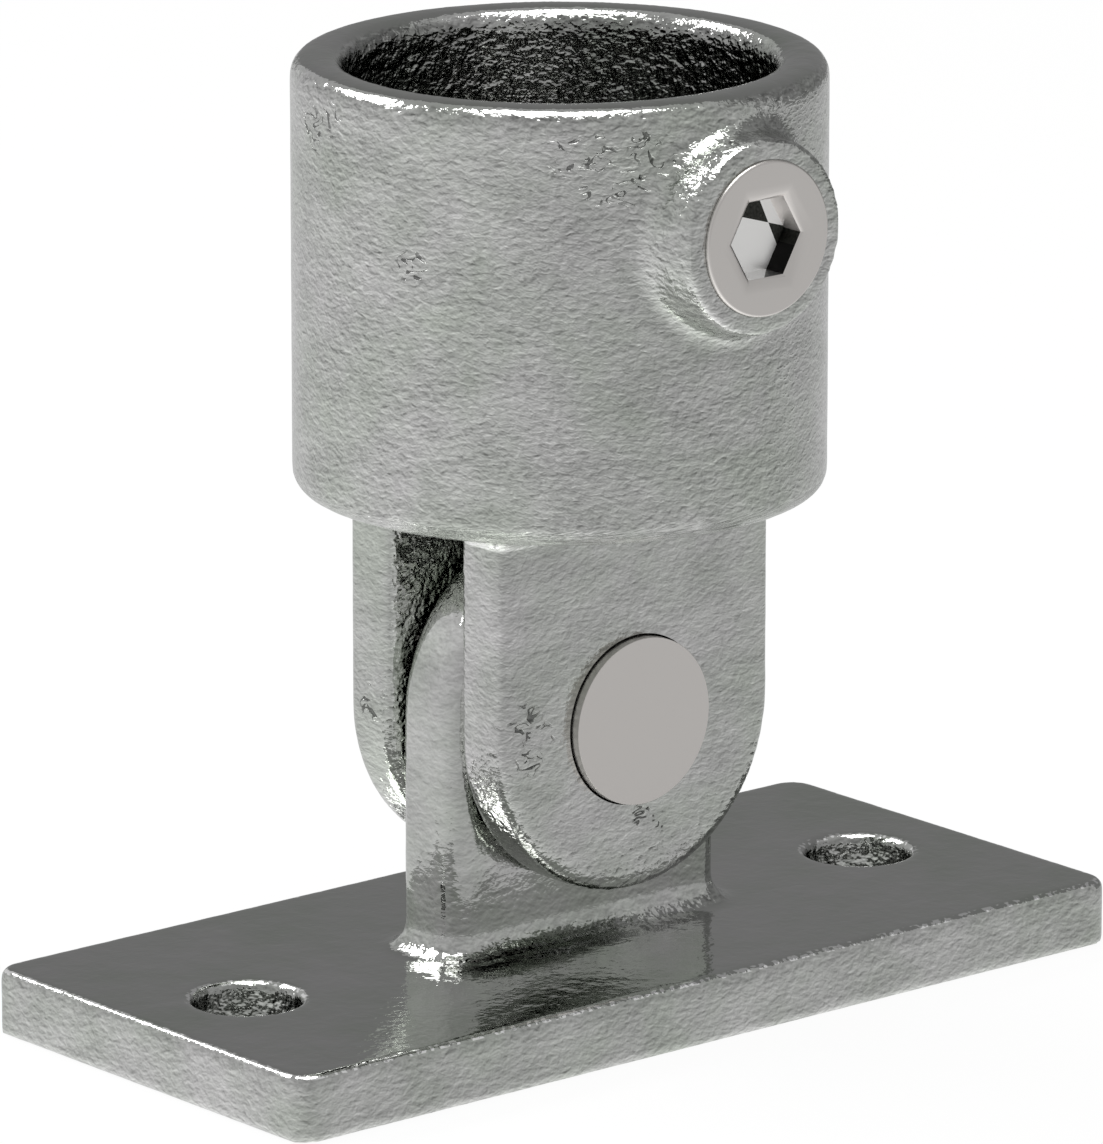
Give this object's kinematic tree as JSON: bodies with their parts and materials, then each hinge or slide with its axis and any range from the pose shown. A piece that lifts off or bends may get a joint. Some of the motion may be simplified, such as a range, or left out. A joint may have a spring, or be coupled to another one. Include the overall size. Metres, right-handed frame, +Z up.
{
  "type": "swivel base flange for tube",
  "caption": "Cast rectangular base plate with a swivel knuckle that carries an upright tube socket, clamped by a socket-headed grub screw.",
  "frame": {"origin": "middle of the base plate's flat underside, on the axis of the upright socket", "axes": "+Z up along the socket's bore, +X along the plate and its two bolt holes, -Y towards the grub screw, with the swivel's axis along Y"},
  "size_m": [0.11, 0.06, 0.0992],
  "materials": {
    "galvanised_casting": "hot-dip galvanised malleable iron, pale grey with a fine orange-peel skin and small pits",
    "plated_steel": "smooth zinc-plated steel, satin, slightly warm grey"
  },
  "bodies": {
    "base": {"base_flange": "galvanised_casting", "pivot_pin": "plated_steel"},
    "socket": {"socket_fork": "galvanised_casting"},
    "screw": {"grub_screw": "plated_steel"}
  },
  "joints": [
    {"name": "socket_swivel", "type": "hinge", "parent": "base", "child": "socket", "pos_m": [0, 0, 0.0314], "axis": [0, 1, 0], "range_deg": [-82, 82]},
    {"name": "screw_travel", "type": "slide", "parent": "socket", "child": "screw", "axis": [0, 1, 0], "range_m": [-0.006, 0.006]}
  ]
}
